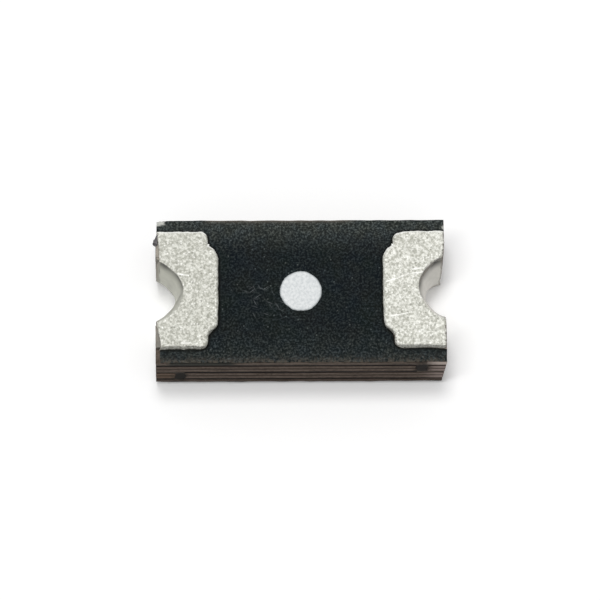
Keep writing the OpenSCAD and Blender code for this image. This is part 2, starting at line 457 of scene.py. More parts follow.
def mask_material():
    """Dark solder mask: blue, green and brown blacks under a pale speckle, paler at the back, brown edges,
    and painted shade beside the lands.
    """
    material, tree, output = empty_material("solder_mask")
    where = object_coordinates(tree)
    x, y, _ = axes(tree, where)
    green = cloudy(tree, where, 2.4)
    brown = cloudy(tree, stretched(tree, where, (1, 1, 1), 70), 3.3)
    tone = blend(tree, green, rgb(0.0030, 0.0055, 0.0090), rgb(0.004, 0.0080, 0.0075))
    tone = blend(tree, product(tree, brown, 0.5), tone, rgb(0.0075, 0.0075, 0.0065))
    back = past(tree, y, 0.40, 0.80)
    front = past(tree, y, -0.35, -0.80)
    tone = blend(tree, front, tone, rgb(0.006, 0.0095, 0.0105))
    tone = blend(tree, back, tone, rgb(0.016, 0.0200, 0.0195))
    fine = noise(tree, where, 0.024, 3.0, 0.7)
    pale = blend(tree, front, rgb(0.034, 0.043, 0.045), rgb(0.064, 0.076, 0.076))
    pale = blend(tree, back, pale, rgb(0.112, 0.128, 0.124))
    tone = blend(tree, ramp(tree, fine, 0.46, 0.68), tone, pale)
    speck = specked(tree, where, 30, 0.36, 0.06)
    tone = blend(tree, speck, tone, rgb(0.11, 0.125, 0.125))
    tint = cloudy(tree, stretched(tree, where, (1, 1, 1), 35), 7)
    tint = blend(tree, tint, rgb(0.95, 0.99, 1.03), rgb(1.06, 1.02, 0.94))
    tone = blend(tree, 1.0, tone, tint, "MULTIPLY")
    tone = blend(tree, fibre_mask(tree, where), tone, rgb(0.12, 0.13, 0.135))
    # Painted shade on the mask beside the lands.
    tone = blend(tree, attribute(tree, "land_shade"), tone, rgb(0.005, 0.005, 0.004))
    torn = noise(tree, where, 0.03, 3.0, 0.7)
    frayed = product(tree, attribute(tree, "frayed"), window(tree, torn, 0.36, 0.60))
    tone = blend(tree, frayed, tone, rgb(0.095, 0.083, 0.068))
    rubbed = product(tree, attribute(tree, "rim"), band(tree, x, *RUBBED_EDGE_X))
    rubbed = product(tree, rubbed, window(tree, torn, 0.2, 0.5))
    tone = blend(tree, rubbed, tone, rgb(0.155, 0.135, 0.112))
    tone = blend(tree, attribute(tree, "fresh"), tone, FRESH_BREAK)
    height = arithmetic(tree, "ADD", fine, speck)
    rough = ramp(tree, fine, 0.0, 1.0, 0.6, 0.8)
    finish_material(tree, output, height, 0.003, Base_Color=tone, Roughness=rough, Specular_IOR_Level=0.04)
    return material


SAWN_SHINE = 0.06
LEFT_DARK_BAND_X = (-1.50, -1.42, -0.80, -0.66)
SMEAR_X = (1.22, 1.30, 1.36, 1.44)
SMEAR_WAVER = 0.16
SMEARED = rgb(0.016, 0.014, 0.011)


def finish_sawn(tree, output, saw, depth, tone, roughness):
    """Dull finish of a sawn side, bumped by its saw marks."""
    look = {"Base_Color": tone, "Roughness": roughness, "Specular_IOR_Level": SAWN_SHINE}
    finish_material(tree, output, saw["Height"], depth, **look)


def painted_light_at_right(tree, where):
    """Share of painted light on the sawn side, growing towards the right end."""
    return past(tree, axes(tree, where)[0], 1.30, 1.58)


def above_middle(tree, z):
    """Height over the middle of the chip, in metres."""
    return arithmetic(tree, "SUBTRACT", z, HEIGHT / 2 * MM)


def slot_smear(tree, where):
    """Resin smeared by the saw from a slot on to the sheet beside it, at the lower left and upper right."""
    x, _, z = axes(tree, where)
    waver = arithmetic(tree, "SUBTRACT", noise(tree, where, 0.06), 0.5)
    off = arithmetic(tree, "ADD", arithmetic(tree, "ABSOLUTE", x), product(tree, waver, SMEAR_WAVER * MM))
    same = product(tree, x, above_middle(tree, z))
    patchy = window(tree, noise(tree, where, 0.05, 3.0, 0.6), 0.30, 0.55)
    return product(tree, band(tree, off, *SMEAR_X), arithmetic(tree, "GREATER_THAN", same, 0.0), patchy)


def glass_material():
    """Sawn glass and epoxy cover: brownish grey threads, painted light towards the right end, darker along
    the left part of the top cover's front.
    """
    material, tree, output = empty_material("glass_epoxy")
    where = object_coordinates(tree)
    x, _, z = axes(tree, where)
    saw = sawn(tree, where, 0.5)
    tone = blend(tree, saw["Streak"], rgb(0.040, 0.030, 0.024), rgb(0.152, 0.122, 0.100))
    upper = past(tree, z, 0.30, 0.60)
    tone = blend(tree, 1.0, tone, blend(tree, upper, rgb(0.80, 0.78, 0.78), rgb(1, 1, 1)), "MULTIPLY")
    # Painted light: the top cover turns pale towards the right end.
    tone = blend(tree, product(tree, painted_light_at_right(tree, where), upper), tone, rgb(0.47, 0.40, 0.36))
    # The top cover's front is darker towards the left end.
    left_dark_band = product(tree, band(tree, x, *LEFT_DARK_BAND_X), past(tree, z, 0.55, 0.65))
    left_dark_tone = blend(tree, saw["Streak"], rgb(0.012, 0.012, 0.010), rgb(0.045, 0.045, 0.038))
    tone = blend(tree, left_dark_band, tone, left_dark_tone)
    tone = blend(tree, product(tree, slot_smear(tree, where), 0.6), tone, SMEARED)
    tone = blend(tree, attribute(tree, "fresh"), tone, FRESH_BREAK)
    finish_sawn(tree, output, saw, 0.004, tone, 0.75)
    return material


def polymer_material():
    """Sawn conductive polymer: warm brown-grey, darker in its middle and at the foils, brown at the left,
    with painted light towards the right end.
    """
    material, tree, output = empty_material("conductive_polymer")
    where = object_coordinates(tree)
    x, _, z = axes(tree, where)
    saw = sawn(tree, where, 0.6)
    tone = blend(tree, saw["Streak"], rgb(0.024, 0.016, 0.012), rgb(0.155, 0.121, 0.098))
    left = product(tree, past(tree, x, -1.34, -1.42), past(tree, z, 0.43, 0.37))
    tone = blend(tree, product(tree, left, 0.5), tone, rgb(0.13, 0.083, 0.052))
    # Painted light: pale towards the right end.
    tone = blend(tree, painted_light_at_right(tree, where), tone, rgb(0.275, 0.220, 0.198))
    off = arithmetic(tree, "ABSOLUTE", arithmetic(tree, "SUBTRACT", attribute(tree, "across"), 0.5))
    dark = arithmetic(tree, "MAXIMUM", window(tree, off, 0.14, 0.03), window(tree, off, 0.40, 0.49))
    tone = blend(tree, product(tree, dark, 0.85), tone, rgb(0.019, 0.013, 0.010))
    tone = blend(tree, slot_smear(tree, where), tone, SMEARED)
    finish_sawn(tree, output, saw, 0.005, tone, 0.8)
    return material


def foil_material():
    """Sawn edge of an electrode foil, dark brown, with painted light towards the right end."""
    material, tree, output = empty_material("electrode_foil")
    where = object_coordinates(tree)
    saw = sawn(tree, where, 0.4)
    tone = blend(tree, saw["Streak"], rgb(0.002, 0.001, 0.0007), rgb(0.010, 0.006, 0.0045))
    # Painted light: partly pale towards the right end.
    tone = blend(tree, product(tree, painted_light_at_right(tree, where), 0.5), tone, rgb(0.14, 0.105, 0.088))
    finish_sawn(tree, output, saw, 0.004, tone, 0.6)
    return material


PLUG_MIDDLE = np.array([HALF_L - STRIP_L - SLOT_W / 2, 0.145])
PLUG_CORE = np.array([0.075, 0.125])


def plug_core(tree, where):
    """1 in the middle of a plug of resin, 0 at its corners: an ellipse in X and Z with an uneven edge."""
    x, _, z = axes(tree, where)
    total = product(tree, noise(tree, where, 0.06, 3.0, 0.6), 1.6)
    for value, middle, size in zip((x, above_middle(tree, z)), PLUG_MIDDLE, PLUG_CORE):
        away = arithmetic(tree, "SUBTRACT", arithmetic(tree, "ABSOLUTE", value), middle * MM)
        away = product(tree, away, 1 / (size * MM))
        total = arithmetic(tree, "ADD", total, product(tree, away, away))
    return window(tree, total, 2.4, 1.5)


def resin_material():
    """Dark resin in the slots, sawn through, blackest in the middle of each plug."""
    material, tree, output = empty_material("slot_resin")
    where = object_coordinates(tree)
    saw = sawn(tree, where, 0.8)
    tone = blend(tree, saw["Streak"], rgb(0.016, 0.012, 0.0095), rgb(0.070, 0.055, 0.045))
    tone = blend(tree, plug_core(tree, where), tone, rgb(0.011, 0.0095, 0.008))
    finish_sawn(tree, output, saw, 0.004, tone, 0.7)
    return material


def copper_material():
    """Sawn copper, dulled brown-grey with some bare metal in the saw marks, darker towards the front."""
    material, tree, output = empty_material("copper")
    where = object_coordinates(tree)
    saw = sawn(tree, where, 0.5)
    tone = blend(tree, saw["Streak"], rgb(0.11, 0.10, 0.088), rgb(0.26, 0.235, 0.20))
    tone = blend(tree, cloudy(tree, where, 9), tone, rgb(0.17, 0.165, 0.148))
    front = past(tree, axes(tree, where)[1], -0.35, -0.60)
    level = blend(tree, front, rgb(1.22, 1.22, 1.2), rgb(0.78, 0.79, 0.78))
    tone = blend(tree, 1.0, tone, level, "MULTIPLY")
    finish_material(tree, output, saw["Height"], 0.003, Base_Color=tone, Roughness=0.6, Metallic=0.3)
    return material


def ink_material():
    """White printing ink, thin and grey at its edge, with fine pores."""
    material, tree, output = empty_material("white_ink")
    fine = noise(tree, object_coordinates(tree), 0.03, 3.0, 0.6)
    tone = blend(tree, window(tree, fine, 0.3, 0.7), rgb(0.62, 0.65, 0.66), rgb(0.80, 0.82, 0.82))
    tone = blend(tree, attribute(tree, "thin"), tone, rgb(0.38, 0.41, 0.42))
    finish_material(tree, output, fine, 0.004, Base_Color=tone, Roughness=0.6)
    return material


def burr_material():
    """Torn sliver of plating, dark and tarnished."""
    material, tree, output = empty_material("burr")
    cloud = cloudy(tree, object_coordinates(tree), 30)
    tone = blend(tree, cloud, rgb(0.04, 0.037, 0.04), rgb(0.15, 0.14, 0.145))
    finish_material(tree, output, cloud, 0.004, Base_Color=tone, Roughness=0.5, Metallic=0.5)
    return material


# Numpy shapes

LATTICE = 48


def s_curve(low, high, value):
    """0 up to low, 1 from high on, 3t^2 - 2t^3 between."""
    t = np.clip((value - low) / (high - low), 0, 1)
    return t * t * (3 - 2 * t)


def lattice_noise(points, cell, seed):
    """Random values on a cubic lattice, blended along each axis by an S curve: -1 to 1, a cell wide."""
    lattice = np.random.default_rng(seed).uniform(-1, 1, (LATTICE, LATTICE, LATTICE))
    at = points / np.asarray(cell)
    low = np.floor(at).astype(int)
    part = s_curve(0, 1, at - low)
    total = np.zeros(points.shape[:-1])
    for corner in itertools.product((0, 1), repeat=3):
        weight = np.prod(np.where(corner, part, 1 - part), -1)
        i, j, k = np.moveaxis((low + corner) % LATTICE, -1, 0)
        total += weight * lattice[i, j, k]
    return total


def layered_noise(points, *layers):
    """Sum of lattice noises, each given by its height, cell and seed."""
    return sum(height * lattice_noise(points, cell, seed) for height, cell, seed in layers)


def arc(centre, radius, start, end, count):
    """Points on a circle from one angle to another, in degrees."""
    angle = np.radians(np.linspace(start, end, count))
    return np.asarray(centre) + radius * np.stack([np.cos(angle), np.sin(angle)], -1)


def evenly(path, count):
    """A polyline read off at even steps of its length."""
    run = np.r_[0, np.cumsum(np.hypot(*np.diff(path, axis=0).T))]
    at = np.linspace(0, run[-1], count)
    return np.stack([np.interp(at, run, path[:, axis]) for axis in (0, 1)], -1)


def stepped(path, step):
    """A polyline read off at about this step, its corners kept."""
    lengths = np.hypot(*np.diff(path, axis=0).T)
    run = np.r_[0, np.cumsum(lengths)]
    even = np.linspace(0, run[-1], max(2, int(run[-1] / step)))
    at = np.unique(np.concatenate([even, run]).round(7))
    keep = np.r_[True, np.diff(at) > step * 0.2]
    return np.stack([np.interp(at[keep], run, path[:, axis]) for axis in (0, 1)], -1)


def outward(loop, closed):
    """Unit normals to the right of a path's direction, by central differences."""
    if closed:
        ahead = np.roll(loop, -1, 0) - np.roll(loop, 1, 0)
    else:
        ahead = np.gradient(loop, axis=0)
    ahead /= np.linalg.norm(ahead, axis=1, keepdims=True)
    return np.stack([ahead[:, 1], -ahead[:, 0]], -1)


def mirrored(curve):
    """The same curve at the left end."""
    return curve * [-1, 1]


def grid_faces(index):
    """Quads of a grid of vertex numbers, wound so that first axis x second axis points outwards."""
    cells = [index[:-1, :-1], index[1:, :-1], index[1:, 1:], index[:-1, 1:]]
    return np.stack(cells, -1).reshape(-1, 4).tolist()


SEAM = 1e-7
WEIGHT_DIGITS = 4


def make_piece(name, points, faces, values, flat_faces=()):
    """Object at the origin from points in millimetres, faces and values at the points; seams are merged."""
    mesh = bpy.data.meshes.new(name)
    mesh.from_pydata((points * MM).tolist(), [], list(faces) + list(flat_faces))
    for key, value in values.items():
        mesh.attributes.new(key, "FLOAT", "POINT").data.foreach_set("value", value.astype(np.float32))
    smooth = np.ones(len(mesh.polygons), bool)
    smooth[len(faces):] = False
    mesh.polygons.foreach_set("use_smooth", smooth)
    work = bmesh.new()
    work.from_mesh(mesh)
    bmesh.ops.remove_doubles(work, verts=work.verts, dist=SEAM)
    work.to_mesh(mesh)
    work.free()
    piece = bpy.data.objects.new(name, mesh)
    bpy.context.scene.collection.objects.link(piece)
    return piece


def from_patches(name, patches, values):
    """Piece from several grids of points; values are grids to match."""
    points, faces, start = [], [], 0
    for patch in patches:
        count = patch.shape[0] * patch.shape[1]
        faces += grid_faces(np.arange(start, start + count).reshape(patch.shape[:2]))
        points.append(patch.reshape(-1, 3))
        start += count
    flat = {key: np.concatenate([grid.ravel() for grid in grids]) for key, grids in values.items()}
    return make_piece(name, np.concatenate(points), faces, flat)


def thicken(piece, thickness, share=None):
    """Gives a skin its thickness inwards, or at each point the share of it that the mesh carries there."""
    solid = piece.modifiers.new("thickness", "SOLIDIFY")
    solid.thickness = thickness * MM
    solid.offset = -1
    if share:
        values = np.empty(len(piece.data.vertices), np.float32)
        piece.data.attributes[share].data.foreach_get("value", values)
        values = values.astype(float).round(WEIGHT_DIGITS)
        group = piece.vertex_groups.new(name=share)
        for weight in np.unique(values):
            group.add(np.flatnonzero(values == weight).tolist(), weight, "REPLACE")
        solid.vertex_group = group.name


def dress(piece, material, slot, *nodes):
    """Material, body and the frame nodes that the piece stands for; the slot is not used."""
    piece.data.materials.append(material)
    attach(piece, "root")
    if nodes:
        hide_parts(*nodes)


# Laminate

SIDE_STEP = 0.014
ROW_STEP = 0.01
EDGE_BREAK = 0.0015
ON_EDGE = 1e-6
ON_ARC = 0.001
ARC_POINTS = 49


def end_curve(reach, radius, half_width=HALF_W):
    """Boundary at the right end, front to back: straight at a reach from the end, a circle at the notch."""
    half = math.degrees(math.acos((NOTCH_OUT + reach) / radius))
    swell = arc(NOTCH_CENTRE, radius, 180 + half, 180 - half, ARC_POINTS)
    x = HALF_L - reach
    return np.concatenate([[[x, -half_width]], swell, [[x, half_width]]])


SAWN_END = end_curve(0, NOTCH_R)
STRIP_EDGE = end_curve(STRIP_L, NOTCH_R + RING_W)
SLOT_EDGE = end_curve(STRIP_L + SLOT_W, NOTCH_R + RING_W + SLOT_W)

FLAKE_SIZE = np.array([0.105, 0.062])
FLAKE_DEPTH = 0.03
BREAK_ROUGHNESS = 0.25
BREAK_GRAIN = 0.03


def fit_chip(points, top):
    """Moves points in the broken back left corner out to its slanted face; 1 there and where it flaked."""
    corner = np.array([-HALF_L, HALF_W, top])
    share = (points - corner) * [1, -1, -1] / CHIP_SIZE
    rough = 1 + BREAK_ROUGHNESS * lattice_noise(points, BREAK_GRAIN, 71)
    short = np.clip(rough - share.sum(-1), 0, None)
    moved = points.copy()
    moved[..., 0] += short / 2 * CHIP_SIZE[0]
    moved[..., 1] -= short / 2 * CHIP_SIZE[1]
    off = np.linalg.norm((points[..., :2] - corner[:2]) / FLAKE_SIZE, 4, axis=-1)
    flake = (1 - s_curve(0.85, 1.1, off * rough)) * (points[..., 2] > top - FLAKE_DEPTH)
    return moved, np.maximum(np.clip(short * 20, 0, 1), flake)


CORNER_RUN = 0.033
END_SPAN = 0.2
BACK_INSET = 0.013
FRONT_CORNER_Y = (0.60, 0.80)
BACK_CORNER_Y = (0.55, 0.70)
RIGHT_INSET = 0.012
RIGHT_INSET_Y = (-0.3, 0.5)
MOUTH_INSET = 0.018
MOUTH_Y = 0.28
MOUTH_SPREAD = 0.14


def right_inset(y):
    """How far the right end is drawn in along Y: more towards the back, and most beside the notch."""
    mouth = np.exp(-((y - MOUTH_Y) / MOUTH_SPREAD) ** 2)
    return RIGHT_INSET * s_curve(*RIGHT_INSET_Y, y) + MOUTH_INSET * mouth


def fit_corners(points):
    """Draws the ends in where the saw ran off: the foot of the front right corner, and both back corners."""
    low = np.clip((MASK_TOP - points[..., 2]) / (MASK_TOP - LAMINATE_BOTTOM), 0, 1)
    front = s_curve(*FRONT_CORNER_Y, -points[..., 1]) * s_curve(HALF_L - END_SPAN, HALF_L, points[..., 0])
    points[..., 0] -= CORNER_RUN * low * front
    back = s_curve(*BACK_CORNER_Y, points[..., 1]) * s_curve(HALF_L - END_SPAN, HALF_L, -points[..., 0])
    points[..., 0] += BACK_INSET * back
    points[..., 0] -= right_inset(points[..., 1]) * s_curve(HALF_L - END_SPAN, HALF_L, points[..., 0])
    return points


def follow_swell(points):
    """Draws points on a notch arc in with the swell at their height; each keeps its share of the turn."""
    side = np.sign(points[..., 0])
    x, y = side * points[..., 0] - NOTCH_CENTRE[0], points[..., 1]
    radius = np.hypot(x, y)
    narrow = radius - notch_swell(points[..., 2])[0]
    span = np.arccos(NOTCH_OUT / np.maximum(radius, NOTCH_OUT))
    narrow_span = np.arccos(NOTCH_OUT / np.maximum(narrow, NOTCH_OUT))
    angle = np.arctan2(y, -x) / np.maximum(span, 1e-9) * narrow_span
    on_arc = radius < NOTCH_R + ON_ARC
    moved = points.copy()
    moved[..., 0] = np.where(on_arc, side * (NOTCH_CENTRE[0] - narrow * np.cos(angle)), points[..., 0])
    moved[..., 1] = np.where(on_arc, narrow * np.sin(angle), points[..., 1])
    return moved


LAYER_DRIFT = 0.006
LAYER_DRIFT_CELL = (0.35, 0.35, 0.4)
SLOT_WAVER = 0.032
SLOT_WAVER_CELL = (0.3, 0.05, 0.05)
SLOT_ZONE = (1.16, 1.24, 1.42, 1.50)


def pressed(points):
    """Layers as they were pressed: their heights drift along the chip, and the edges of the slots waver."""
    x, _, z = np.moveaxis(points, -1, 0)
    low, inner_low, inner_high, high = SLOT_ZONE
    deep = np.sin(math.pi * np.clip((z - LAMINATE_BOTTOM) / (LAMINATE_TOP - LAMINATE_BOTTOM), 0, 1))
    slot = s_curve(low, inner_low, np.abs(x)) * (1 - s_curve(inner_high, high, np.abs(x)))
    moved = points.copy()
    moved[..., 2] += LAYER_DRIFT * deep * lattice_noise(points, LAYER_DRIFT_CELL, 83)
    moved[..., 0] += SLOT_WAVER * slot * lattice_noise(points, SLOT_WAVER_CELL, 84)
    return moved


SAW_MARK = 0.0014
SAW_MARK_CELL = (0.4, 0.4, 0.018)
TORN_GRAIN = 0.0012
TORN_GRAIN_CELL = 0.035


def sawn_relief(points, proud, seed):
    """How far a sawn side stands out: long shallow saw marks, torn grains, and the layer's own height."""
    marks = (SAW_MARK, SAW_MARK_CELL, seed)
    grains = (TORN_GRAIN, TORN_GRAIN_CELL, seed + 1)
    return proud + layered_noise(points, marks, grains)


def layer_slab(node, left, right, proud, seed, etched=False):
    """Flat layer: rows of the plan outline stacked in Z, sawn sides moved along their normals, flat caps."""
    low, high = (corner[2] for corner in node_box(node))
    loop = np.concatenate([right, left[::-1], right[:1]])
    loop = stepped(loop, SIDE_STEP)[:-1]
    normal = outward(loop, True)
    rows = max(4, int((high - low) / ROW_STEP) + 1)
    level = np.r_[low, np.linspace(low + EDGE_BREAK, high - EDGE_BREAK, rows), high]
    inset = np.zeros(len(level))
    inset[[0, -1]] = EDGE_BREAK
    plan = loop[None] - normal[None] * inset[:, None, None]
    height = np.broadcast_to(level[:, None, None], plan.shape[:2] + (1,))
    points = np.concatenate([plan, height], -1)
    sawn_off = (np.abs(loop) > [HALF_L - ON_EDGE, HALF_W - ON_EDGE]).any(1)
    relief = sawn_relief(points, proud, seed) * sawn_off
    points[..., :2] += normal[None] * relief[..., None]
    points, fresh = fit_chip(fit_corners(pressed(follow_swell(points))), MASK_TOP)
    if etched:
        points = wander(points)
    across = np.broadcast_to(((level - low) / (high - low))[:, None], fresh.shape)
    count = len(loop)
    index = np.arange(points.shape[0] * count).reshape(-1, count)
    faces = grid_faces(np.concatenate([index, index[:, :1]], 1).T)
    caps = [index[0, ::-1].tolist(), index[-1].tolist()]
    values = {"across": across.ravel(), "fresh": fresh.ravel()}
    return make_piece(node, points.reshape(-1, 3), faces, values, caps)


GLASS_PROUD = 0.001
FOIL_PROUD = -0.004
POLYMER_PROUD = 0.0
RESIN_PROUD = -0.002


def add_laminate():
    """Every layer, strip and resin filling, each between its left and right boundary."""
    glass = (glass_material(), "glass_epoxy", GLASS_PROUD)
    polymer = (polymer_material(), "conductive_polymer", POLYMER_PROUD)
    foil = (foil_material(), "foil", FOIL_PROUD)
    resin = (resin_material(), "slot_resin", RESIN_PROUD)
    left_end, left_strip, left_slot = (mirrored(curve) for curve in (SAWN_END, STRIP_EDGE, SLOT_EDGE))
    layers = [
        ("bottom_cover", left_end, SAWN_END, glass),
        ("top_cover", left_end, SAWN_END, glass),
        ("lower_foil", left_slot, SAWN_END, foil),
        ("lower_foil_end_strip", left_end, left_strip, foil),
        ("centre_foil", left_slot, SLOT_EDGE, foil),
        ("upper_foil", left_end, SLOT_EDGE, foil),
        ("upper_foil_end_strip", STRIP_EDGE, SAWN_END, foil),
        ("lower_ptc_sheet", left_slot, SAWN_END, polymer),
        ("lower_ptc_end_strip", left_end, left_strip, polymer),
        ("upper_ptc_sheet", left_end, SLOT_EDGE, polymer),
        ("upper_ptc_end_strip", STRIP_EDGE, SAWN_END, polymer),
        ("left_slot_resin", left_strip, left_slot, resin),
        ("right_slot_resin", SLOT_EDGE, STRIP_EDGE, resin),
        ("left_relief_resin", left_end, left_slot, resin),
        ("right_relief_resin", SLOT_EDGE, SAWN_END, resin),
    ]
    for number, (node, left, right, (material, slot, proud)) in enumerate(layers):
        piece = layer_slab(node, left, right, proud, 10 * number)
        piece.name = node + ".sawn"
        dress(piece, material, slot, node)


# Terminals

END_ROWS = 40
NOTCH_ROWS = 151
LAND_ROWS = 2 * END_ROWS + NOTCH_ROWS
ROUND_STEPS = 6
WALL_STEPS = 28
WALL_SPREAD = 1.5
SIDE_STEPS = 5
SLOPE_ROUND = 0.01
TOP_COLUMNS = 84
UNDER_COLUMNS = 24
MOST_PINCH = 0.042
LEAST_RIM = 0.012
FOOT_RIM = 0.016
GROOVE_DROP = 0.048
LEFT_GROOVE_HALF = 0.064
RIGHT_GROOVE_HALF = 0.076
GROOVE_DEPTH = 0.014
THICKEST = TIN_T + MOST_PINCH
BACK_SOFTENING = 0.012
FRONT_SOFTENING = 0.03
EDGE_STEPS = 600
SHOULDER_POINTS = 16
TONGUE_POINTS = 24


def softened(path, spread):
    """Evenly stepped path averaged with Gaussian weights of a spread along it; its ends stay."""
    step = np.hypot(*(path[1] - path[0]))
    reach = int(4 * spread / step) + 1
    weight = np.exp(-0.5 * (np.arange(-reach, reach + 1) * step / spread) ** 2)
    weight /= weight.sum()
    longer = np.concatenate([2 * path[0] - path[reach:0:-1], path, 2 * path[-1] - path[-2:-reach - 2:-1]])
    return np.stack([np.convolve(longer[:, axis], weight, "valid") for axis in (0, 1)], -1)


def land_edge(inset, count):
    """Inner edge of the right land, back to front: shoulder, step and tongue, mirrored, softer in front."""
    shoulder = [HALF_L - LAND_SHOULDER_L + SHOULDER_R, LAND_HALF_W - SHOULDER_R]
    tongue = [HALF_L - LAND_L + TONGUE_R, TONGUE_HALF_W - TONGUE_R]
    step = HALF_L - LAND_SHOULDER_L + inset - tongue[0]
    start = math.degrees(math.acos(step / (TONGUE_R - inset)))
    back = np.concatenate([
        arc(shoulder, SHOULDER_R - inset, 90, 180, SHOULDER_POINTS),
        arc(tongue, TONGUE_R - inset, start, 180, TONGUE_POINTS),
    ])
    path = evenly(np.concatenate([back, back[::-1] * [1, -1]]), EDGE_STEPS)
    front = s_curve(0.45, 0.6, np.linspace(0, 1, EDGE_STEPS))[:, None]
    path = softened(path, BACK_SOFTENING) * (1 - front) + softened(path, FRONT_SOFTENING) * front
    return evenly(path, count)


ETCH_WANDER = (0.005, 0.004)
ETCH_WANDER_CELL = (0.13, 0.11)
DRIFTS = [
    ([-0.98, -0.48], [0.07, 0.08], 0.034),
    ([0.985, -0.47], [0.07, 0.08], 0.042),
    ([1.06, 0.68], [0.10, 0.08], -0.014),
    ([1.33, -0.69], [0.42, 0.09], 0.027),
    ([-1.30, -0.69], [0.38, 0.09], 0.019),
]


def wander(points):
    """Sideways drift of etched outlines: a smooth field over the plan, and a few places shifted along Y."""
    flat = points * [1, 1, 0]
    moved = points.copy()
    for axis in (0, 1):
        moved[..., axis] += ETCH_WANDER[axis] * lattice_noise(flat, ETCH_WANDER_CELL[axis], 31 + axis)
    for centre, size, shift in DRIFTS:
        away = (points[..., :2] - centre) / np.array(size)
        moved[..., 1] += shift * np.exp(-np.sum(away ** 2, -1))
    return moved


def rounding(steps):
    """Sine and cosine of a quarter turn in even steps."""
    angle = np.linspace(0, math.pi / 2, steps + 1)
    return np.sin(angle), np.cos(angle)


LEFT_BACK_PINCH = 0.022
LEFT_BACK_OPENING = 0.030
LEFT_FOOT_PINCH = 0.032
LEFT_FOOT_OPENING = 0.044
LEFT_RIM_R = 0.338
LEFT_RIM_OPENING = 0.034
LEFT_GROOVE_FADE = 0.5
LEFT_FOOT_GROOVE = 0.6
RIGHT_BACK_PINCH = -0.008
RIGHT_FOOT_PINCH = 0.038
RIGHT_FRONT_PINCH = 0.034
RIGHT_RIM_R = 0.376
RIGHT_RIM_CLOSING = 0.030
RIGHT_GROOVE_FADE = 0.7
RIGHT_FOOT_GROOVE = 0.2


def notch_shape(side, up, turn):
    """Pinch of a notch's wall, rounding of its rim and strength of its groove, by the turn round it.

    The turn is 1 at the back and -1 at the front. At the left the front is pinched between its ends, and the
    foot of the back less and less towards the mouth. At the right the front is pinched all along, and the
    foot of the back more and more towards the mouth. The rim's rounding reaches a radius on the land."""
    front = s_curve(-0.1, 0.3, -turn)
    if side < 0:
        wide = s_curve(-0.7, 0.0, -turn)
        back_pinch = LEFT_FOOT_PINCH - LEFT_FOOT_OPENING * turn ** 4
        if up > 0:
            back_pinch = LEFT_BACK_PINCH - LEFT_BACK_OPENING * wide
        pinch = back_pinch * (1 - front) + MOST_PINCH * (1 - turn ** 4) * front
        edge = LEFT_RIM_R + LEFT_RIM_OPENING * wide
        groove = 1 - LEFT_GROOVE_FADE * front if up > 0 else LEFT_FOOT_GROOVE + 0 * turn
    else:
        back_pinch = RIGHT_BACK_PINCH if up > 0 else RIGHT_FOOT_PINCH * np.abs(turn) ** 1.5
        pinch = back_pinch * (1 - front) + RIGHT_FRONT_PINCH * front
        edge = RIGHT_RIM_R - RIGHT_RIM_CLOSING * front
        groove = 1 - RIGHT_GROOVE_FADE * front if up > 0 else RIGHT_FOOT_GROOVE + 0 * turn
    rim = np.maximum(edge - FINISHED_R + pinch, LEAST_RIM) if up > 0 else FOOT_RIM + 0 * turn
    return pinch, rim, groove


def notch_turns():
    """Column of turns round a notch, from 1 at the back to -1 at the front, closer together at both ends."""
    even = np.linspace(1, -1, NOTCH_ROWS)[:, None]
    return even * (1.25 - 0.25 * even ** 2)


def notch_ring(turn, radius):
    """Points round a notch at a radius, and their angles; a full turn reaches the sawn end."""
    angle = turn * np.arccos(NOTCH_OUT / radius)
    return NOTCH_CENTRE + radius[..., None] * np.stack([-np.cos(angle), np.sin(angle)], -1), angle


def side_profiles():
    """Two profiles of a land's side, each as reach, fall and the two parts of the outward direction.

    One is a quarter round and a plain drop, the other a small round and a slope down to the same foot."""
    sine, cosine = rounding(ROUND_STEPS)
    plain = np.linspace(0, 1, SIDE_STEPS + 1)[1:]
    drop = HEIGHT - LAMINATE_TOP
    full = np.stack([
        np.r_[EDGE_R * sine, np.full(SIDE_STEPS, EDGE_R)],
        np.r_[EDGE_R * (1 - cosine), EDGE_R + (drop - EDGE_R) * plain],
        np.r_[sine, np.ones(SIDE_STEPS)],
        np.r_[cosine, np.zeros(SIDE_STEPS)],
    ])
    below = drop - SLOPE_ROUND
    lie = math.atan2(EDGE_R, -below) - math.acos(SLOPE_ROUND / math.hypot(EDGE_R, below))
    part = np.linspace(0, lie, ROUND_STEPS + 1)
    foot = np.array([SLOPE_ROUND * math.sin(lie), SLOPE_ROUND * (1 - math.cos(lie))])
    sloped = np.stack([
        np.r_[SLOPE_ROUND * np.sin(part), foot[0] + (EDGE_R - foot[0]) * plain],
        np.r_[SLOPE_ROUND * (1 - np.cos(part)), foot[1] + (drop - foot[1]) * plain],
        np.r_[np.sin(part), np.full(SIDE_STEPS, math.sin(lie))],
        np.r_[np.cos(part), np.full(SIDE_STEPS, math.cos(lie))],
    ])
    return full, sloped


